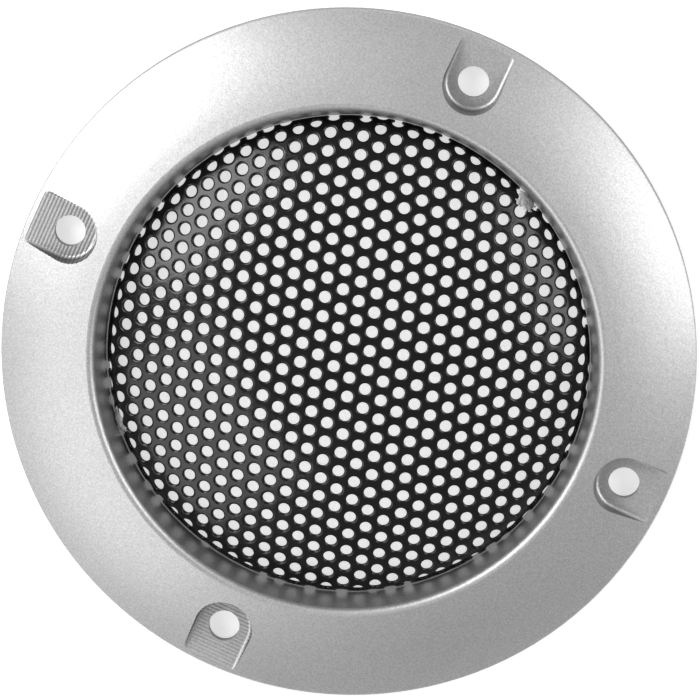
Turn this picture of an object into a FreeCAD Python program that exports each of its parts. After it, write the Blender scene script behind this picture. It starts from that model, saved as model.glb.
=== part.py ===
import FreeCAD, Part
import math
import os

import Sketcher
from FreeCAD import Vector

# A round loudspeaker grille: a moulded trim ring with four open screw pockets, and a domed
# disc of perforated sheet that sits in the ring's bore, held there by dabs of clear glue.
# Millimetres.  +Z is the front.  The origin is the centre of the flat back face.
# The four screws lie on the X and Y axes.

SIZES = [
    # trim ring
    ("outer_radius", 54.0, "outside of the ring"),
    ("rim_height", 2.5, "back face to the front's outer edge"),
    ("lip_height", 8.2, "back face to the lip around the bore, before it is rounded"),
    ("lip_radius", 39.11, "bore at the lip, before it is rounded"),
    ("bore_back_radius", 37.35, "bore at the back face, narrower by the mould's draft"),
    ("front_arc_radius", 53.6, "bulge of the front between the lip and the rim"),
    ("lip_round", 1.0, "rounding of the lip"),
    ("rim_round", 0.35, "rounding of the rim"),
    # hollow back
    ("channel_inner_radius", 40.4, "inner wall of the channel in the back"),
    ("channel_outer_radius", 52.3, "outer wall of the channel in the back"),
    ("channel_inner_height", 6.0, "channel's ceiling at its inner wall"),
    ("channel_outer_height", 1.5, "channel's ceiling at its outer wall"),
    ("channel_span", 70.0, "degrees of deep channel between two screw pads"),
    # screw pockets
    ("screw_count", 4, "screw pockets around the ring"),
    ("screw_circle_radius", 47.1, "centre of the ring to a screw hole"),
    ("screw_hole_radius", 2.42, "clearance for a 4 mm screw"),
    ("pocket_centre_radius", 47.1, "centre of the pocket's round end"),
    ("pocket_half_width", 4.38, "half the pocket's width at its floor, before the fillet"),
    ("pocket_draft", 4.0, "degrees that the pocket's walls lean out"),
    ("pocket_fillet", 0.6, "fillet between the pocket's floor and its wall"),
    ("pocket_floor_height", 3.0, "back face to the pocket's floor"),
    ("pad_thickness", 1.75, "plastic under the screw's head"),
    # cutter marks in some of the pockets
    ("mark_pitch", 0.56, "step between two cutter marks"),
    ("mark_width", 0.3, "width of one cutter mark"),
    ("mark_depth", 0.06, "depth of one cutter mark"),
    # perforated dome, measured on the middle of the sheet
    ("sheet_thickness", 0.5, "perforated sheet"),
    ("dome_height", 10.4, "back face to the top of the dome"),
    ("crown_radius", 143.2, "curvature of the crown"),
    ("shoulder_radius", 63.8, "curvature of the shoulder around the crown"),
    ("bend_radius", 2.15, "curvature of the bend around the shoulder"),
    ("skirt_radius", 40.0, "curvature of the skirt below the bend"),
    ("crown_angle", 5.36, "degrees of slope where the crown becomes the shoulder"),
    ("shoulder_angle", 26.4, "degrees of slope where the shoulder becomes the bend"),
    ("bend_angle", 66.0, "degrees of slope where the bend becomes the skirt"),
    ("sheet_edge_angle", 67.9, "degrees of slope at the sheet's cut edge"),
    ("hole_pitch", 3.01, "hole to hole in a row"),
    ("row_pitch", 2.587, "row to row, each staggered by half a hole pitch"),
    ("hole_radius", 0.94, "perforation"),
    ("hole_row_angle", 47.69, "degrees from X to a row of perforations"),
    ("hole_start_along_x", 0.595, "dome's centre to the nearest perforation"),
    ("hole_start_along_y", 1.426, "dome's centre to the nearest perforation"),
    ("whole_hole_land", 0.55, "least sheet between a whole perforation and the cut edge"),
    ("notch_overlap", 0.2, "least by which a perforation that isn't whole breaks the cut edge"),
    ("notch_depth", 0.38, "least depth of a notch in the cut edge"),
    # glue dabs
    ("glue_circle_radius", 37.5, "centre of the ring to a dab"),
    ("glue_height", 2.35, "back face to the middle of a dab"),
]

# name, degrees from X, half its length along the ring, half its depth across, half its height
GLUE_DABS = [
    ("glue_dab_right", 66.0, 2.1, 0.6, 1.2),
    ("glue_dab_left", 220.9, 2.0, 0.6, 1.15),
]

MARKED_POCKETS = (180.0, 270.0)  # degrees from X
CLEAR = 5.0  # how far a cutting shape runs past the plastic
FULL_TURN = 360.0
OFFSET_TOLERANCE = 1e-4
AXIS = Vector(0, 0, 1)


def add_sizes(doc):
    """The driving dimensions, one row each: name, size, meaning."""
    sheet = doc.addObject("Spreadsheet::Sheet", "sizes")
    for row, (name, value, meaning) in enumerate(SIZES, start=1):
        sheet.set(f"A{row}", name)
        sheet.set(f"B{row}", str(value))
        sheet.setAlias(f"B{row}", name)
        sheet.set(f"C{row}", meaning)
    doc.recompute()
    return sheet


# Sketches


def origin_feature(body, role):
    return next(item for item in body.Origin.OriginFeatures if item.Role == role)


def add_sketch(body, name, role):
    """An empty sketch on one of the body's own origin planes."""
    sketch = body.newObject("Sketcher::SketchObject", name)
    sketch.AttachmentSupport = [(origin_feature(body, role), "")]
    sketch.MapMode = "FlatFace"
    return sketch


def worth(item, text):
    """What an expression comes to, as seen from an object of the document."""
    return float(item.evalExpression(text))


def bind(sketch, kind, place, text):
    """A dimension of the sketch that follows an expression."""
    number = sketch.addConstraint(Sketcher.Constraint(kind, *place, worth(sketch, text)))
    sketch.setExpression(f"Constraints[{number}]", text)


def arc_between(start, end, radius):
    """The short arc from start to end, bulging to the right for a positive radius."""
    chord = end - start
    half = chord.Length / 2
    rise = abs(radius) - math.sqrt(radius * radius - half * half)
    right = Vector(chord.y, -chord.x, 0).normalize()
    middle = (start + end) * 0.5 + right * math.copysign(rise, radius)
    return Part.Arc(start, middle, end)


def draw_outline(sketch, corners):
    """A closed outline.  A corner is its x and y and, where an arc leads to the next corner,
    the arc's radius and the side it bulges to: 1 is right of the way there and -1 is left."""
    points = [Vector(worth(sketch, corner[0]), worth(sketch, corner[1])) for corner in corners]
    edges = []
    for start, end, corner in zip(points, points[1:] + points[:1], corners):
        if len(corner) == 2:
            edges.append((sketch.addGeometry(Part.LineSegment(start, end), False), 1, 2))
            continue
        radius, side = corner[2:]
        arc = arc_between(start, end, side * worth(sketch, radius))
        edge = sketch.addGeometry(arc, False)
        starts_first = sketch.Geometry[edge].StartPoint.isEqual(start, 1e-6)
        edges.append((edge, 1, 2) if starts_first else (edge, 2, 1))
        bind(sketch, "Radius", (edge,), radius)
    for number, corner in enumerate(corners):
        edge, first, _ = edges[number]
        before, _, last = edges[number - 1]
        sketch.addConstraint(Sketcher.Constraint("Coincident", before, last, edge, first))
        bind(sketch, "DistanceX", (-1, 1, edge, first), corner[0])
        bind(sketch, "DistanceY", (-1, 1, edge, first), corner[1])


# Trim ring


def revolve(body, kind, name, sketch):
    """A full turn of a sketch about its own upright axis."""
    feature = body.newObject(kind, name)
    feature.Profile = sketch
    feature.ReferenceAxis = (sketch, ["V_Axis"])
    feature.Angle = FULL_TURN
    return feature


def round_edge(doc, body, base, name, height, radius):
    """A fillet on the level edges at a height."""
    doc.recompute()
    level = worth(base, height)
    sharp = [
        f"Edge{number}"
        for number, edge in enumerate(base.Shape.Edges, start=1)
        if abs(edge.BoundBox.ZMin - level) + abs(edge.BoundBox.ZMax - level) < 1e-3
    ]
    rounded = body.newObject("PartDesign::Fillet", name)
    rounded.Base = (base, sharp)
    rounded.setExpression("Radius", radius)
    return rounded


def add_ring_solid(doc, body):
    """The plain ring: bore, lip, bulging front and rim, with its two sharp edges rounded."""
    section = add_sketch(body, "ring_section", "XZ_Plane")
    draw_outline(section, [
        ("sizes.bore_back_radius", "0"),
        ("sizes.outer_radius", "0"),
        ("sizes.outer_radius", "sizes.rim_height", "sizes.front_arc_radius", 1),
        ("sizes.lip_radius", "sizes.lip_height"),
    ])
    ring = revolve(body, "PartDesign::Revolution", "ring_solid", section)
    rounded = round_edge(doc, body, ring, "rounded_lip", "sizes.lip_height", "sizes.lip_round")
    round_edge(doc, body, rounded, "rounded_rim", "sizes.rim_height", "sizes.rim_round")


def add_channels(body):
    """A shallow channel all around the back, and a deep one between two screw pads."""
    inner = "sizes.channel_inner_radius"
    outer = "sizes.channel_outer_radius"
    pad = "sizes.pocket_floor_height - sizes.pad_thickness"
    shallow = add_sketch(body, "shallow_channel_section", "XZ_Plane")
    draw_outline(shallow, [(inner, "-1"), (outer, "-1"), (outer, pad), (inner, pad)])
    revolve(body, "PartDesign::Groove", "shallow_channel", shallow)

    deep = add_sketch(body, "deep_channel_section", "XZ_Plane")
    deep.AttachmentOffset = FreeCAD.Placement(Vector(), FreeCAD.Rotation(Vector(0, 1, 0), 45))
    deep.setExpression("AttachmentOffset.Rotation.Angle", "180 deg / sizes.screw_count")
    draw_outline(deep, [
        (inner, "-1"),
        (outer, "-1"),
        (outer, "sizes.channel_outer_height"),
        (inner, "sizes.channel_inner_height"),
    ])
    channel = revolve(body, "PartDesign::Groove", "deep_channel", deep)
    channel.Midplane = True
    channel.setExpression("Angle", "sizes.channel_span * 1 deg")
    return channel


def add_pocket(body):
    """One screw pocket: a flat floor, a fillet and leaning walls, round at its inner end and
    open at the rim.  The round end is turned, and the rest runs straight out."""
    floor = "sizes.pocket_floor_height"
    top = "sizes.pocket_floor_height + sizes.lip_height"
    run = "sizes.pocket_fillet * tan(45 - sizes.pocket_draft / 2)"
    foot = f"sizes.pocket_half_width - {run}"
    shoulder = f"sizes.pocket_half_width + {run} * sin(sizes.pocket_draft)"
    shoulder_height = f"{floor} + {run} * cos(sizes.pocket_draft)"
    mouth = "sizes.pocket_half_width + sizes.lip_height * tan(sizes.pocket_draft)"

    half = add_sketch(body, "pocket_end_section", "XZ_Plane")
    half.setExpression("AttachmentOffset.Base.x", "sizes.pocket_centre_radius")
    draw_outline(half, [
        ("0", floor),
        (foot, floor, "sizes.pocket_fillet", 1),
        (shoulder, shoulder_height),
        (mouth, top),
        ("0", top),
    ])
    end = revolve(body, "PartDesign::Groove", "pocket_end", half)

    whole = add_sketch(body, "pocket_section", "YZ_Plane")
    whole.setExpression("AttachmentOffset.Base.z", "sizes.pocket_centre_radius")
    draw_outline(whole, [
        (f"-({foot})", floor),
        (foot, floor, "sizes.pocket_fillet", 1),
        (shoulder, shoulder_height),
        (mouth, top),
        (f"-({mouth})", top),
        (f"-({shoulder})", shoulder_height, "sizes.pocket_fillet", 1),
    ])
    way = body.newObject("PartDesign::Pocket", "pocket_way_out")
    way.Profile = whole
    way.Reversed = True
    way.setExpression("Length", f"sizes.outer_radius - sizes.pocket_centre_radius + {CLEAR}")
    return [end, way]


def add_screw_hole(body):
    sketch = add_sketch(body, "screw_hole_sketch", "XY_Plane")
    centre = Vector(worth(sketch, "sizes.screw_circle_radius"))
    circle = sketch.addGeometry(Part.Circle(centre, AXIS, worth(sketch, "sizes.screw_hole_radius")), False)
    bind(sketch, "Radius", (circle,), "sizes.screw_hole_radius")
    bind(sketch, "DistanceX", (-1, 1, circle, 3), "sizes.screw_circle_radius")
    sketch.addConstraint(Sketcher.Constraint("PointOnObject", circle, 3, -1))
    hole = body.newObject("PartDesign::Pocket", "screw_hole")
    hole.Profile = sketch
    hole.Reversed = True
    hole.setExpression("Length", "sizes.lip_height")
    return hole


def add_ring_body(doc):
    """The whole ring but for its cutter marks."""
    body = doc.addObject("PartDesign::Body", "ring_body")
    add_ring_solid(doc, body)
    channel = add_channels(body)
    pocket = add_pocket(body)
    hole = add_screw_hole(body)
    pattern = body.newObject("PartDesign::PolarPattern", "around_the_ring")
    pattern.Originals = [channel, *pocket, hole]
    pattern.Axis = (origin_feature(body, "Z_Axis"), [""])
    pattern.Angle = FULL_TURN
    pattern.setExpression("Occurrences", "sizes.screw_count")
    body.Tip = pattern
    doc.recompute()
    return body


def cutter_marks_shape(doc, sheet):
    """Fine steps across the floor and walls of the marked pockets, square to their length."""
    end = doc.getObject("pocket_end")
    way = doc.getObject("pocket_way_out")
    pocket = end.AddSubShape.fuse(way.AddSubShape).removeSplitter()
    pocket.Placement = end.Placement
    deeper = pocket.makeOffsetShape(sheet.mark_depth, OFFSET_TOLERANCE)
    reach = sheet.pocket_half_width + CLEAR
    first = sheet.pocket_centre_radius - sheet.pocket_half_width
    count = int((sheet.outer_radius - first) / sheet.mark_pitch) + 1
    slices = []
    for number in range(count):
        corner = Vector(first + number * sheet.mark_pitch, -reach, 0)
        slices.append(Part.makeBox(sheet.mark_width, 2 * reach, sheet.lip_height + CLEAR, corner))
    marks = deeper.common(Part.makeCompound(slices))
    return Part.makeCompound([marks.rotated(Vector(), AXIS, angle) for angle in MARKED_POCKETS])


def add_trim_ring(doc, sheet):
    body = add_ring_body(doc)
    marks = doc.addObject("Part::Feature", "cutter_marks")
    marks.Shape = cutter_marks_shape(doc, sheet)
    ring = doc.addObject("Part::Cut", "trim_ring")
    ring.Base = body
    ring.Tool = marks
    return ring


# Perforated dome


class Dome:
    """The middle of the sheet: crown, shoulder, bend and skirt, four arcs that run into each
    other.  A place on it is known by its distance from the dome's centre along the sheet."""

    def __init__(self, sheet):
        slopes = [math.radians(angle) for angle in (
            0.0, sheet.crown_angle, sheet.shoulder_angle, sheet.bend_angle, sheet.sheet_edge_angle)]
        radii = [sheet.crown_radius, sheet.shoulder_radius, sheet.bend_radius, sheet.skirt_radius]
        self.arcs = []
        centre = Vector(0, 0, sheet.dome_height - radii[0])
        along = 0.0
        for number, radius in enumerate(radii):
            first, last = slopes[number:number + 2]
            self.arcs.append((along, centre, radius, first, last))
            along += radius * (last - first)
            if number + 1 < len(radii):
                centre = centre + self.outward(last) * (radius - radii[number + 1])
        self.length = along

    @staticmethod
    def outward(slope):
        """Square to the sheet where it slopes so much, in the plane Y = 0."""
        return Vector(math.sin(slope), 0, math.cos(slope))

    def at(self, along):
        """The point and the outward direction there, in the plane Y = 0."""
        start, centre, radius, first, _ = [arc for arc in self.arcs if arc[0] <= along][-1]
        outward = self.outward(first + (along - start) / radius)
        return centre + outward * radius, outward

    def skin(self, offset):
        """The arcs of the sheet's section, so far off its middle."""
        edges = []
        for _, centre, radius, first, last in self.arcs:
            ways = [self.outward(slope) for slope in (first, (first + last) / 2, last)]
            edges.append(Part.Arc(*(centre + way * (radius + offset) for way in ways)).toShape())
        return edges


def clear_of_edge(sheet, along, land):
    """Where a perforation sits that has so much sheet between it and the cut edge.  One that is
    nearly whole moves in to be whole, one that nearly touches moves out to be a clear notch, and
    one that would only nick the edge isn't there."""
    if land >= sheet.whole_hole_land:
        return along
    if land > sheet.whole_hole_land / 2:
        return along + land - sheet.whole_hole_land
    if land > -sheet.notch_overlap:
        return along + land + sheet.notch_overlap
    return along if land > sheet.notch_depth - 2 * sheet.hole_radius else None


def perforations(sheet, dome):
    """Where the holes are: along the sheet, and around the axis."""
    turn = math.radians(sheet.hole_row_angle)
    reach = int(dome.length / sheet.hole_pitch) + 2
    places = []
    for row in range(-2 * reach, 2 * reach + 1):
        for number in range(-2 * reach, 2 * reach + 1):
            across = sheet.hole_pitch * (number + row / 2)
            up = sheet.row_pitch * row
            x = across * math.cos(turn) - up * math.sin(turn) + sheet.hole_start_along_x
            y = across * math.sin(turn) + up * math.cos(turn) + sheet.hole_start_along_y
            along = math.hypot(x, y)
            along = clear_of_edge(sheet, along, dome.length - along - sheet.hole_radius)
            if along is not None:
                places.append((along, math.degrees(math.atan2(y, x))))
    return places


def add_mesh_dome(doc, sheet):
    dome = Dome(sheet)
    half = sheet.sheet_thickness / 2
    outside = dome.skin(half)
    inside = dome.skin(-half)
    crown = Part.makeLine(inside[0].firstVertex().Point, outside[0].firstVertex().Point)
    edge = Part.makeLine(inside[-1].lastVertex().Point, outside[-1].lastVertex().Point)
    section = Part.Wire(Part.__sortEdges__([crown, *outside, edge, *inside]))
    blank = Part.Face(section).revolve(Vector(), AXIS, FULL_TURN)
    punches = []
    reach = 1.5 * sheet.sheet_thickness
    for along, around in perforations(sheet, dome):
        point, outward = dome.at(along)
        punch = Part.makeCylinder(sheet.hole_radius, 2 * reach, point - outward * reach, outward)
        punches.append(punch.rotated(Vector(), AXIS, around))
    mesh = doc.addObject("Part::Feature", "mesh_dome")
    mesh.Shape = blank.cut(punches)
    return mesh


# Glue


def add_glue_dab(doc, name, around, half_length, half_depth, half_height, solids):
    """A blob in the gap between the sheet's edge and the bore, shaped by both."""
    blob = doc.addObject("Part::Ellipsoid", f"{name}_blob")
    blob.Radius1 = half_height
    blob.Radius2 = half_depth
    blob.Radius3 = half_length
    blob.Placement.Rotation = FreeCAD.Rotation(AXIS, around)
    blob.setExpression("Placement.Base.x", f"sizes.glue_circle_radius * cos({around})")
    blob.setExpression("Placement.Base.y", f"sizes.glue_circle_radius * sin({around})")
    blob.setExpression("Placement.Base.z", "sizes.glue_height")
    dab = blob
    for number, solid in enumerate(solids, start=1):
        cut = doc.addObject("Part::Cut", name if solid is solids[-1] else f"{name}_cut_{number}")
        cut.Base = dab
        cut.Tool = solid
        dab = cut
    return dab


def check(doc, parts):
    """Nothing failed, and every sub-part is a valid solid."""
    for item in doc.Objects:
        if {"Invalid", "Error"} & set(item.State):
            raise RuntimeError(f"{item.Name} failed: {item.State}")
    for part in parts:
        if part.Shape.isNull() or not part.Shape.isValid() or not part.Shape.Solids:
            raise RuntimeError(f"{part.Label} is not a valid solid")


def main():
    doc = FreeCAD.newDocument("speaker_grille")
    sheet = add_sizes(doc)
    ring = add_trim_ring(doc, sheet)
    mesh = add_mesh_dome(doc, sheet)
    dabs = [add_glue_dab(doc, *row, [ring, mesh]) for row in GLUE_DABS]
    doc.recompute()
    parts = [ring, mesh, *dabs]
    check(doc, parts)
    os.makedirs("parts", exist_ok=True)
    for part in parts:
        part.Label = part.Name
        part.Shape.exportStep(f"parts/{part.Label}.step")
        print(part.Label, len(part.Shape.Solids), round(part.Shape.Volume, 2))


main()
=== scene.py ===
import math

import bmesh
import bpy
import numpy as np
from mathutils import Matrix, Vector
from mathutils import noise as field
from mathutils.geometry import delaunay_2d_cdt


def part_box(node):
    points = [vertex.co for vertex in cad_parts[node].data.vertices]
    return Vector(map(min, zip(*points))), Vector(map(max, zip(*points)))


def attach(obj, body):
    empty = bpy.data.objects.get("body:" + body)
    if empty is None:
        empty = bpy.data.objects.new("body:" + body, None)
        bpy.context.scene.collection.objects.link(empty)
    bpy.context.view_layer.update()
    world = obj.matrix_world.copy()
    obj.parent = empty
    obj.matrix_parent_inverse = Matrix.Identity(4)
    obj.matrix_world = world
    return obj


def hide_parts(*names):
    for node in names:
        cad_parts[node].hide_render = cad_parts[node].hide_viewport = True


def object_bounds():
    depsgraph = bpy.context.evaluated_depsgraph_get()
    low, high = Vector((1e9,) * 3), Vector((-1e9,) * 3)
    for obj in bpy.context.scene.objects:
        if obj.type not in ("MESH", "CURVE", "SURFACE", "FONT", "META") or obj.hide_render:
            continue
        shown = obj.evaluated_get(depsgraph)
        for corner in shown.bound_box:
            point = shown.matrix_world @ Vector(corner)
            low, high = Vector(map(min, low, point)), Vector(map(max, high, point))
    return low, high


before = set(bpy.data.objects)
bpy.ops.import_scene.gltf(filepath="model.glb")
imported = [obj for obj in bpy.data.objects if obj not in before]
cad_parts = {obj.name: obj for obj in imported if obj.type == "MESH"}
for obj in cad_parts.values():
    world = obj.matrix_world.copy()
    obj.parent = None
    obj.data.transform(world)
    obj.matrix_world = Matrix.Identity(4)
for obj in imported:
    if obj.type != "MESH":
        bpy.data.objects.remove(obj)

# The looks of a round loudspeaker grille.  Metres, in the CAD model's frame: the grille lies
# on its back face, +Z is its front, and the screws lie on the X and Y axes.

MM = 0.001
cad_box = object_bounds()
OUTER_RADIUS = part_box("trim_ring")[1].x

# camera
TILT = math.radians(10.67)  # of the line of sight from the grille's axis
TILT_TOWARDS = math.radians(95.1)  # the side it tilts to, from X
UP = math.radians(114.55)  # the way that is up in the picture, from X
DISTANCE = 14.2 * OUTER_RADIUS
PICTURE_WIDTH = 2.0145 * OUTER_RADIUS  # what the picture spans at the grille
SENSOR = 36.0
CLIP_START = 0.01
AIM = (0.24 * MM, 0.54 * MM)  # the picture's middle from the grille's, right and up

# stage: with UP upwards, a key light at the upper left, a second light at the right and a weak
# fill at the lower left
WORLD = 0.3
FLOOR_SIZE = 6.0
FLOOR_GAP = 0.02 * MM  # the floor stays clear of the grille's back face
FLOOR_GLOW = 0.6
FLOOR_GREY = 0.8
FLOOR_ROUGHNESS = 0.6
SOFTBOX_DISTANCE = 0.9
SOFTBOX_WIDTH = 0.6
SOFTBOXES = [  # name, degrees off the grille's axis, degrees from X, power
    ("key_softbox", 55, 170, 6),
    ("right_softbox", 60, 40, 4),
    ("fill_softbox", 45, 240, 2),
]

# cutter marks in two of the screw pockets
POCKET_CENTRE = 47.1 * MM
POCKET_HALF_WIDTH = 4.62 * MM  # a little less than at its mouth
MARK_PITCH = 0.56 * MM
FIRST_MARK = 42.59 * MM
MARK_FADE = 0.15 * MM  # over which the ribs die out at the pocket's wall
LEFT_MARK_DEPTH = 0.015 * MM
LOWER_MARK_DEPTH = 0.006 * MM

# perforated dome, the CAD model's dimensions of the middle of the sheet
SHEET = 0.5 * MM
HOLE_PITCH = 3.01 * MM
ROW_PITCH = 2.587 * MM
HOLE_RADIUS = 0.94 * MM
ROW_ANGLE = math.radians(47.69)
FIRST_HOLE = (0.595 * MM, 1.426 * MM)
DOME_TOP = 10.4 * MM
ARC_RADII = (143.2 * MM, 63.8 * MM, 2.15 * MM, 40.0 * MM)
ARC_SLOPES = tuple(math.radians(angle) for angle in (0.0, 5.36, 26.4, 66.0, 67.9))
WHOLE_HOLE_LAND = 0.55 * MM
NOTCH_OVERLAP = 0.2 * MM
NOTCH_DEPTH = 0.38 * MM
# and of its mesh
ROLL_WIDTH = 0.36 * MM  # the punch rolls the edge of a hole at the front
ROLL_DEPTH = 0.26 * MM
EDGE_ROLL_WIDTH = 0.08 * MM  # and the cut edge of the sheet a little
BACK_ROLL = 0.06 * MM
COAT = 0.03 * MM  # powder coat narrows the holes
RIM_MARGIN = 0.05 * MM  # flat strip of mesh outside the rolled edge
ROLL_STEPS = 5  # round the front edge of a hole
BACK_ROLL_STEPS = 2
HOLE_SIDES = 32
NOTCH_SIDES = 20
EDGE_STEP = 0.6 * MM
BEND_STEP = 0.4 * MM  # finer mesh where the sheet bends
KEEP_ALL = 0  # the triangulation's output type: every triangle
MERGE_DISTANCE = 1e-7  # of the triangulation, in hole pitches
SHARP_ANGLE = math.radians(40)

# glue
GLUE_DABS = [  # node, degrees from X, place along the sheet, half length, half depth, thickness
    ("glue_dab_right", 66.0, 38.5 * MM, 1.8 * MM, 1.5 * MM, 0.35 * MM),
    ("glue_dab_left", 220.9, 38.6 * MM, 2.0 * MM, 1.1 * MM, 0.45 * MM),
]
GLUE_STEPS = 60
GLUE_REACH = 1.3  # of the meshed patch, in half lengths and half depths
GLUE_RIM_WIDTH = 0.12 * MM  # of the hole rims that show through the glue
GLUE_RIM_SWELL = 0.35  # share of the thickness that a rim adds
RAGGED_COARSE = (0.8, 0.45)  # waves per mm and strength, for the outline
RAGGED_FINE = (2.3, 0.25)
GLUE_RIPPLE = (3.0, 0.3)  # waves per mm and strength, for the thickness


def direction(off_axis, towards):
    """The way that leans so far off the grille's axis, towards that side."""
    return Vector((
        math.sin(off_axis) * math.cos(towards),
        math.sin(off_axis) * math.sin(towards),
        math.cos(off_axis),
    ))


# ---------------------------------------------------------------- camera

def add_camera():
    sight = direction(TILT, TILT_TOWARDS)
    # face the grille squarely with the right side up, then lean over to the line of sight
    squarely = Matrix.Rotation(UP - math.pi / 2, 4, "Z")
    turn = Vector((0, 0, 1)).rotation_difference(sight).to_matrix().to_4x4() @ squarely
    data = bpy.data.cameras.new("camera")
    data.sensor_width = SENSOR
    data.lens = SENSOR * DISTANCE / PICTURE_WIDTH
    data.clip_start = CLIP_START
    camera = bpy.data.objects.new("camera", data)
    bpy.context.scene.collection.objects.link(camera)
    camera.matrix_world = turn @ Matrix.Translation((*AIM, DISTANCE))
    bpy.context.scene.camera = camera


# ---------------------------------------------------------------- material helpers

def new_material(name):
    material = bpy.data.materials.new(name)
    material.use_nodes = True
    nodes = material.node_tree.nodes
    return material, nodes, material.node_tree.links, nodes["Principled BSDF"]


def add_node(nodes, kind, **values):
    """A node, with its inputs set by name and its own settings by attribute."""
    node = nodes.new(kind)
    for key, value in values.items():
        if key in node.inputs:
            node.inputs[key].default_value = value
        else:
            setattr(node, key, value)
    return node


def noise(nodes, links, place, scale, detail=2.0, roughness=0.5):
    node = add_node(nodes, "ShaderNodeTexNoise", Scale=scale, Detail=detail, Roughness=roughness)
    links.new(place, node.inputs["Vector"])
    return node.outputs["Fac"]


def remap(nodes, links, value, low, high, to_low, to_high):
    node = add_node(nodes, "ShaderNodeMapRange")
    for key, number in zip(("From Min", "From Max", "To Min", "To Max"), (low, high, to_low, to_high)):
        node.inputs[key].default_value = number
    links.new(value, node.inputs["Value"])
    return node.outputs["Result"]


def calculate(nodes, links, operation, *values):
    node = add_node(nodes, "ShaderNodeMath", operation=operation)
    for socket, value in zip(node.inputs, values):
        if isinstance(value, (int, float)):
            socket.default_value = value
        else:
            links.new(value, socket)
    return node.outputs["Value"]


def bump(nodes, links, height, distance, normal=None):
    node = add_node(nodes, "ShaderNodeBump", Distance=distance, Strength=1.0)
    links.new(height, node.inputs["Height"])
    if normal:
        links.new(normal, node.inputs["Normal"])
    return node.outputs["Normal"]


# ---------------------------------------------------------------- materials

def cutter_marks(nodes, links, along, across):
    """Ribs across one screw pocket, from the place along and across its length."""
    end = calculate(nodes, links, "MAXIMUM", calculate(nodes, links, "SUBTRACT", POCKET_CENTRE, along), 0.0)
    squares = [calculate(nodes, links, "MULTIPLY", side, side) for side in (end, across)]
    from_middle = calculate(nodes, links, "SQRT", calculate(nodes, links, "ADD", *squares))
    inside = remap(nodes, links, from_middle, POCKET_HALF_WIDTH, POCKET_HALF_WIDTH - MARK_FADE, 0.0, 1.0)
    ahead = calculate(nodes, links, "SUBTRACT", along, FIRST_MARK)
    turn = calculate(nodes, links, "MULTIPLY", ahead, 2 * math.pi / MARK_PITCH)
    return calculate(nodes, links, "MULTIPLY", calculate(nodes, links, "COSINE", turn), inside)


def silver_paint():
    """Satin silver paint: fine metal flakes under a soft orange peel.  Steep walls get a darker
    colour: painted shade, and partly the thinner spray there.  Two pockets show a cutter's ribs."""
    material, nodes, links, shader = new_material("silver_paint")
    place = add_node(nodes, "ShaderNodeTexCoord").outputs["Object"]
    flakes = noise(nodes, links, place, 3800.0, 1.0)
    peel = noise(nodes, links, place, 900.0, 3.0)
    broad = noise(nodes, links, place, 60.0, 2.0)

    facing = add_node(nodes, "ShaderNodeSeparateXYZ")
    links.new(add_node(nodes, "ShaderNodeNewGeometry").outputs["Normal"], facing.inputs["Vector"])
    # painted shade: the colour darkens on steep walls whose normals turn away from +Z, partly also for
    # thinner spray there
    thin_spray_and_painted_shade = remap(nodes, links, facing.outputs["Z"], 0.0, 0.8, 0.3, 1.0)
    tint = remap(nodes, links, flakes, 0.3, 0.7, 0.50, 0.66)
    links.new(calculate(nodes, links, "MULTIPLY", tint, thin_spray_and_painted_shade), shader.inputs["Base Color"])
    links.new(remap(nodes, links, broad, 0.3, 0.7, 0.42, 0.47), shader.inputs["Roughness"])
    shader.inputs["Metallic"].default_value = 0.75

    axes = add_node(nodes, "ShaderNodeSeparateXYZ")
    links.new(place, axes.inputs["Vector"])
    x, y = axes.outputs["X"], axes.outputs["Y"]
    left = cutter_marks(nodes, links, calculate(nodes, links, "MULTIPLY", x, -1.0), y)
    lower = cutter_marks(nodes, links, calculate(nodes, links, "MULTIPLY", y, -1.0), x)
    normal = bump(nodes, links, left, LEFT_MARK_DEPTH)
    normal = bump(nodes, links, lower, LOWER_MARK_DEPTH, normal)
    normal = bump(nodes, links, peel, 0.02 * MM, normal)
    links.new(bump(nodes, links, flakes, 0.012 * MM, normal), shader.inputs["Normal"])
    return material


def black_powder():
    """Satin black powder coat with its fine pimples."""
    material, nodes, links, shader = new_material("black_powder")
    place = add_node(nodes, "ShaderNodeTexCoord").outputs["Object"]
    pimples = noise(nodes, links, place, 2200.0, 2.0)
    broad = noise(nodes, links, place, 120.0, 2.0)
    links.new(remap(nodes, links, broad, 0.3, 0.7, 0.002, 0.005), shader.inputs["Base Color"])
    links.new(remap(nodes, links, pimples, 0.3, 0.7, 0.15, 0.23), shader.inputs["Roughness"])
    links.new(bump(nodes, links, pimples, 0.012 * MM), shader.inputs["Normal"])
    return material


def cloudy_glue():
    """Hot-melt glue, cloudy with small bubbles."""
    material, nodes, links, shader = new_material("cloudy_glue")
    place = add_node(nodes, "ShaderNodeTexCoord").outputs["Object"]
    cloud = noise(nodes, links, place, 900.0, 4.0)
    links.new(remap(nodes, links, cloud, 0.3, 0.7, 0.6, 0.95), shader.inputs["Base Color"])
    links.new(remap(nodes, links, cloud, 0.3, 0.7, 0.2, 0.45), shader.inputs["Roughness"])
    shader.inputs["Transmission Weight"].default_value = 0.2
    shader.inputs["IOR"].default_value = 1.48
    links.new(bump(nodes, links, cloud, 0.12 * MM), shader.inputs["Normal"])
    return material


def floor_material():
    """A pale light table: it glows a little, so no hard shadow falls on it."""
    material, _, _, shader = new_material("pale_floor")
    shader.inputs["Base Color"].default_value = (FLOOR_GREY, FLOOR_GREY, FLOOR_GREY, 1)
    shader.inputs["Roughness"].default_value = FLOOR_ROUGHNESS
    shader.inputs["Emission Color"].default_value = (1, 1, 1, 1)
    shader.inputs["Emission Strength"].default_value = FLOOR_GLOW
    return material


# ---------------------------------------------------------------- perforated dome

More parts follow.
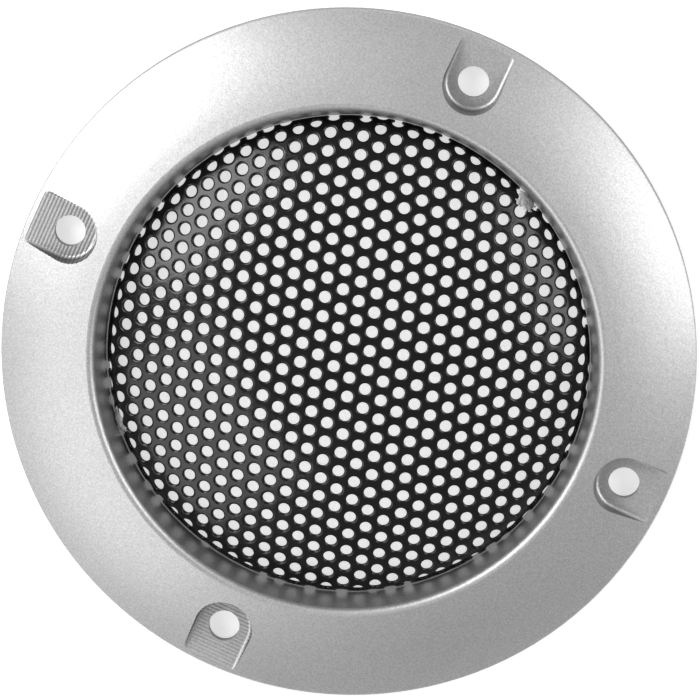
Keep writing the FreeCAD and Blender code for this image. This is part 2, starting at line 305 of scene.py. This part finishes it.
def dome_arcs():
    """Start along the sheet, centre, radius and first slope of each arc, and the sheet's length."""
    arcs = []
    along = 0.0
    centre = np.array((0.0, DOME_TOP - ARC_RADII[0]))
    for number, radius in enumerate(ARC_RADII):
        first, last = ARC_SLOPES[number:number + 2]
        arcs.append((along, centre, radius, first))
        along += radius * (last - first)
        if number + 1 < len(ARC_RADII):
            step = radius - ARC_RADII[number + 1]
            centre = centre + step * np.array((math.sin(last), math.cos(last)))
    return arcs, along


DOME_ARCS, SHEET_REACH = dome_arcs()


def on_dome(flat, height):
    """Points of the flat sheet, pressed onto the dome, at a height off the sheet's middle."""
    along = np.hypot(flat[:, 0], flat[:, 1])
    around = np.arctan2(flat[:, 1], flat[:, 0])
    radius = np.zeros_like(along)
    up = np.zeros_like(along)
    for start, centre, bend, first in DOME_ARCS:
        here = along >= start
        slope = first + (along[here] - start) / bend
        reach = bend + (height[here] if np.ndim(height) else height)
        radius[here] = centre[0] + reach * np.sin(slope)
        up[here] = centre[1] + reach * np.cos(slope)
    return np.stack((radius * np.cos(around), radius * np.sin(around), up), axis=1)


def hole_lattice():
    reach = int(SHEET_REACH / HOLE_PITCH) + 2
    row, number = np.meshgrid(np.arange(-2 * reach, 2 * reach + 1), np.arange(-2 * reach, 2 * reach + 1))
    across = HOLE_PITCH * (number + row / 2).ravel()
    up = ROW_PITCH * row.ravel()
    x = across * math.cos(ROW_ANGLE) - up * math.sin(ROW_ANGLE) + FIRST_HOLE[0]
    y = across * math.sin(ROW_ANGLE) + up * math.cos(ROW_ANGLE) + FIRST_HOLE[1]
    return np.stack((x, y), axis=1)


def whole_holes_and_notches(lattice):
    """The holes kept clear of the sheet's edge, and those that break it, as in the CAD model."""
    along = np.hypot(lattice[:, 0], lattice[:, 1])
    land = SHEET_REACH - along - HOLE_RADIUS
    inward = (land < WHOLE_HOLE_LAND) & (land > WHOLE_HOLE_LAND / 2)
    outward = (land <= WHOLE_HOLE_LAND / 2) & (land > -NOTCH_OVERLAP)
    seat = along + np.where(inward, land - WHOLE_HOLE_LAND, 0) + np.where(outward, land + NOTCH_OVERLAP, 0)
    seated = lattice * (seat / along)[:, None]
    whole = land > WHOLE_HOLE_LAND / 2
    notched = ~whole & (land > NOTCH_DEPTH - 2 * HOLE_RADIUS)
    notches = seated[notched]
    return seated[whole], notches[np.argsort(np.arctan2(notches[:, 1], notches[:, 0]))]


def rolled_profile():
    """From the front face, over the rolled edge and down the wall to the back: how far a hole
    is widened there, how far the sheet falls short of its edge, and the height off its middle."""
    half = SHEET / 2
    profile = [(ROLL_WIDTH + RIM_MARGIN, EDGE_ROLL_WIDTH + RIM_MARGIN, half)]
    for turn in np.radians(np.linspace(0, 90, ROLL_STEPS + 1)):
        flat = 1 - math.sin(turn)
        drop = ROLL_DEPTH * (1 - math.cos(turn))
        profile.append((ROLL_WIDTH * flat - COAT, EDGE_ROLL_WIDTH * flat, half - drop))
    for turn in np.radians(np.linspace(90, 0, BACK_ROLL_STEPS + 1)):
        flat = 1 - math.sin(turn)
        profile.append((BACK_ROLL * flat - COAT, BACK_ROLL * flat, -half + BACK_ROLL * (1 - math.cos(turn))))
    profile.append((BACK_ROLL + RIM_MARGIN, BACK_ROLL + RIM_MARGIN, -half))
    return profile


def circle(centre, radius, sides):
    angles = np.arange(sides) * 2 * math.pi / sides
    return np.stack((centre[0] + radius * np.cos(angles), centre[1] + radius * np.sin(angles)), axis=1)


def edge_outline(notches, widening, shortfall):
    """The sheet's cut edge with its notches, counter-clockwise, and the notch of each point."""
    edge = SHEET_REACH - shortfall
    radius = HOLE_RADIUS + widening
    along = np.hypot(notches[:, 0], notches[:, 1])
    around = np.arctan2(notches[:, 1], notches[:, 0])
    half = np.arccos((edge ** 2 + along ** 2 - radius ** 2) / (2 * edge * along))
    corner = np.arctan2(edge * np.sin(half), edge * np.cos(half) - along)
    points = []
    owners = []
    for number in range(len(notches)):
        angles = around[number] + np.linspace(2 * math.pi - corner[number], corner[number], NOTCH_SIDES)
        points.append(notches[number] + radius * np.stack((np.cos(angles), np.sin(angles)), axis=1))
        owners += [number] * NOTCH_SIDES
        onward = (number + 1) % len(notches)
        gap = (around[onward] - around[number]) % (2 * math.pi)
        count = int(gap * SHEET_REACH / EDGE_STEP) + 1
        start = around[number] + half[number]
        angles = np.linspace(start, around[number] + gap - half[onward], count + 1)[1:-1]
        points.append(edge * np.stack((np.cos(angles), np.sin(angles)), axis=1))
        owners += [-1] * len(angles)
    return np.concatenate(points), owners


def points_between(lattice, holes, notches):
    """Points of the sheet between its holes: one amid every three holes, and a finer net
    where the sheet bends."""
    amid = [lattice + (
        HOLE_PITCH / 2 * np.array((math.cos(ROW_ANGLE), math.sin(ROW_ANGLE)))
        + side * ROW_PITCH / 3 * np.array((-math.sin(ROW_ANGLE), math.cos(ROW_ANGLE))))
        for side in (1, -1)]
    inner = DOME_ARCS[2][0] - BEND_STEP
    rings = np.arange(inner, SHEET_REACH, BEND_STEP)
    net = [circle((0, 0), ring, int(2 * math.pi * ring / BEND_STEP)) for ring in rings]
    amid = np.concatenate(amid)
    amid = amid[np.hypot(amid[:, 0], amid[:, 1]) < inner - BEND_STEP / 2]
    points = np.concatenate([amid, *net])
    room = ROLL_WIDTH + 2 * RIM_MARGIN
    clear = np.hypot(points[:, 0], points[:, 1]) < SHEET_REACH - room
    for centre in np.concatenate((holes, notches)):
        clear &= np.hypot(*(points - centre).T) > HOLE_RADIUS + room
    return points[clear]


def build_mesh_dome(material):
    """The perforated sheet: two faces triangulated between the holes, and the holes' walls."""
    lattice = hole_lattice()
    holes, notches = whole_holes_and_notches(lattice)
    between = points_between(lattice, holes, notches)
    rows = []
    for widening, shortfall, height in rolled_profile():
        outline, owners = edge_outline(notches, widening, shortfall)
        rims = [circle(centre, HOLE_RADIUS + widening, HOLE_SIDES) for centre in holes]
        rows.append((np.concatenate([outline, *rims]), height))

    # triangulate the front; a triangle whose corners all lie on one hole or notch is open
    owners = np.concatenate((owners, len(notches) + np.repeat(np.arange(len(holes)), HOLE_SIDES)))
    owners = np.concatenate((owners, np.full(len(between), -1)))
    outer = len(outline)
    rim = len(rows[0][0])
    ahead = np.arange(rim) + 1
    ahead[outer - 1] = 0
    ahead[outer + HOLE_SIDES - 1::HOLE_SIDES] -= HOLE_SIDES
    front = np.concatenate((rows[0][0], between))
    corners = [Vector(point) for point in front / HOLE_PITCH]
    edges = list(enumerate(ahead.tolist()))
    _, _, faces, sources, _, _ = delaunay_2d_cdt(corners, edges, [], KEEP_ALL, MERGE_DISTANCE)
    faces = np.array([source[0] for source in sources])[np.array(faces)]
    first, second, third = owners[faces].T
    is_open = (first >= 0) & (first == second) & (second == third)
    faces = faces[~is_open]

    # the front face with its points, the rows down the walls, then the back face
    back = np.concatenate((rows[-1][0], between))
    middle = [on_dome(points, height) for points, height in rows[1:-1]]
    vertices = np.concatenate([on_dome(front, SHEET / 2), *middle, on_dome(back, -SHEET / 2)])
    starts = [0] + [len(front) + rim * number for number in range(len(middle) + 1)]
    upright = np.arange(rim)
    walls = [np.stack((upright + upper, ahead + upper, ahead + lower, upright + lower), axis=1)
             for upper, lower in zip(starts, starts[1:])]
    walls = [np.concatenate((wall[:outer, ::-1], wall[outer:])) for wall in walls]
    polygons = faces.tolist() + (faces[:, ::-1] + starts[-1]).tolist() + np.concatenate(walls).tolist()
    return add_piece("perforated_dome", vertices, polygons, material, "mesh_dome")


def add_piece(name, vertices, polygons, material, node):
    """A mesh that stands for a CAD node."""
    mesh = bpy.data.meshes.new(name)
    mesh.from_pydata(np.asarray(vertices).tolist(), [], polygons)
    mesh.shade_smooth()
    mesh.set_sharp_from_angle(angle=SHARP_ANGLE)
    mesh.materials.append(material)
    piece = bpy.data.objects.new(name, mesh)
    bpy.context.scene.collection.objects.link(piece)
    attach(piece, "root")
    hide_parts(node)
    return piece


# ---------------------------------------------------------------- glue

def wave(place, kind):
    """Smooth noise of that many waves per mm and that strength."""
    waves, strength = kind
    return strength * field.noise(place * waves)


def build_glue(node, around, along, half_length, half_depth, thickness, material):
    """An irregular smear of glue over the sheet's edge, thickest amid its outline, with the
    rims of the holes beneath showing through it."""
    around = math.radians(around)
    holes, notches = whole_holes_and_notches(hole_lattice())
    centre = along * np.array((math.cos(around), math.sin(around)))
    sideways = np.array((-math.sin(around), math.cos(around)))
    outwards = np.array((math.cos(around), math.sin(around)))
    near = [hole for hole in holes if np.hypot(*(hole - centre)) < half_length + HOLE_PITCH]
    steps = np.linspace(-GLUE_REACH, GLUE_REACH, GLUE_STEPS)
    flat = []
    height = []
    for across in steps:
        for out in steps:
            point = centre + across * half_length * sideways + out * half_depth * outwards
            place = Vector((*point / MM, along / MM))
            ragged = 1 + wave(place, RAGGED_COARSE) + wave(place, RAGGED_FINE)
            swell = 1 - math.hypot(across, out) * ragged
            gaps = [(np.hypot(*(point - hole)) - HOLE_RADIUS) / GLUE_RIM_WIDTH for hole in near]
            rims = sum(math.exp(-gap ** 2) for gap in gaps)
            ripple = 1 + wave(place, GLUE_RIPPLE) + GLUE_RIM_SWELL * rims
            flat.append(point)
            height.append(SHEET / 2 + thickness * ripple * max(swell, 0) ** 0.5 + min(swell, 0) * SHEET)
    polygons = []
    for row in range(GLUE_STEPS - 1):
        for number in range(GLUE_STEPS - 1):
            corner = row * GLUE_STEPS + number
            polygons.append((corner, corner + GLUE_STEPS, corner + GLUE_STEPS + 1, corner + 1))
    kept = [polygon for polygon in polygons if max(height[corner] for corner in polygon) > SHEET / 2]
    vertices = on_dome(np.array(flat), np.array(height))
    return add_piece(node + "_smear", vertices, kept, material, node)


# ---------------------------------------------------------------- stage

def add_softbox(name, off_axis, towards, power):
    """A square light that faces the grille, so far off its axis and towards that side."""
    way = direction(math.radians(off_axis), math.radians(towards))
    data = bpy.data.lights.new(name, "AREA")
    data.shape = "SQUARE"
    data.size = SOFTBOX_WIDTH
    data.energy = power
    light = bpy.data.objects.new(name, data)
    turn = way.to_track_quat("Z", "Y").to_matrix().to_4x4()
    light.matrix_world = Matrix.Translation(way * SOFTBOX_DISTANCE) @ turn
    bpy.context.scene.collection.objects.link(light)


def add_stage():
    world = bpy.data.worlds.new("studio")
    world.use_nodes = True
    background = world.node_tree.nodes["Background"]
    background.inputs["Color"].default_value = (1, 1, 1, 1)
    background.inputs["Strength"].default_value = WORLD
    bpy.context.scene.world = world
    for softbox in SOFTBOXES:
        add_softbox(*softbox)

    floor = bmesh.new()
    bmesh.ops.create_grid(floor, x_segments=2, y_segments=2, size=FLOOR_SIZE / 2)
    mesh = bpy.data.meshes.new("floor")
    floor.to_mesh(mesh)
    floor.free()
    mesh.materials.append(floor_material())
    stage = bpy.data.objects.new("floor", mesh)
    stage.location.z = cad_box[0][2] - FLOOR_GAP
    bpy.context.scene.collection.objects.link(stage)
    bpy.context.scene.view_settings.view_transform = "Standard"


def dress_ring():
    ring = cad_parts["trim_ring"]
    ring.data.materials.clear()
    ring.data.materials.append(silver_paint())
    even = ring.modifiers.new("even_normals", "WEIGHTED_NORMAL")
    even.keep_sharp = True


add_camera()
dress_ring()
build_mesh_dome(black_powder())
glue = cloudy_glue()
for dab in GLUE_DABS:
    build_glue(*dab, glue)
add_stage()
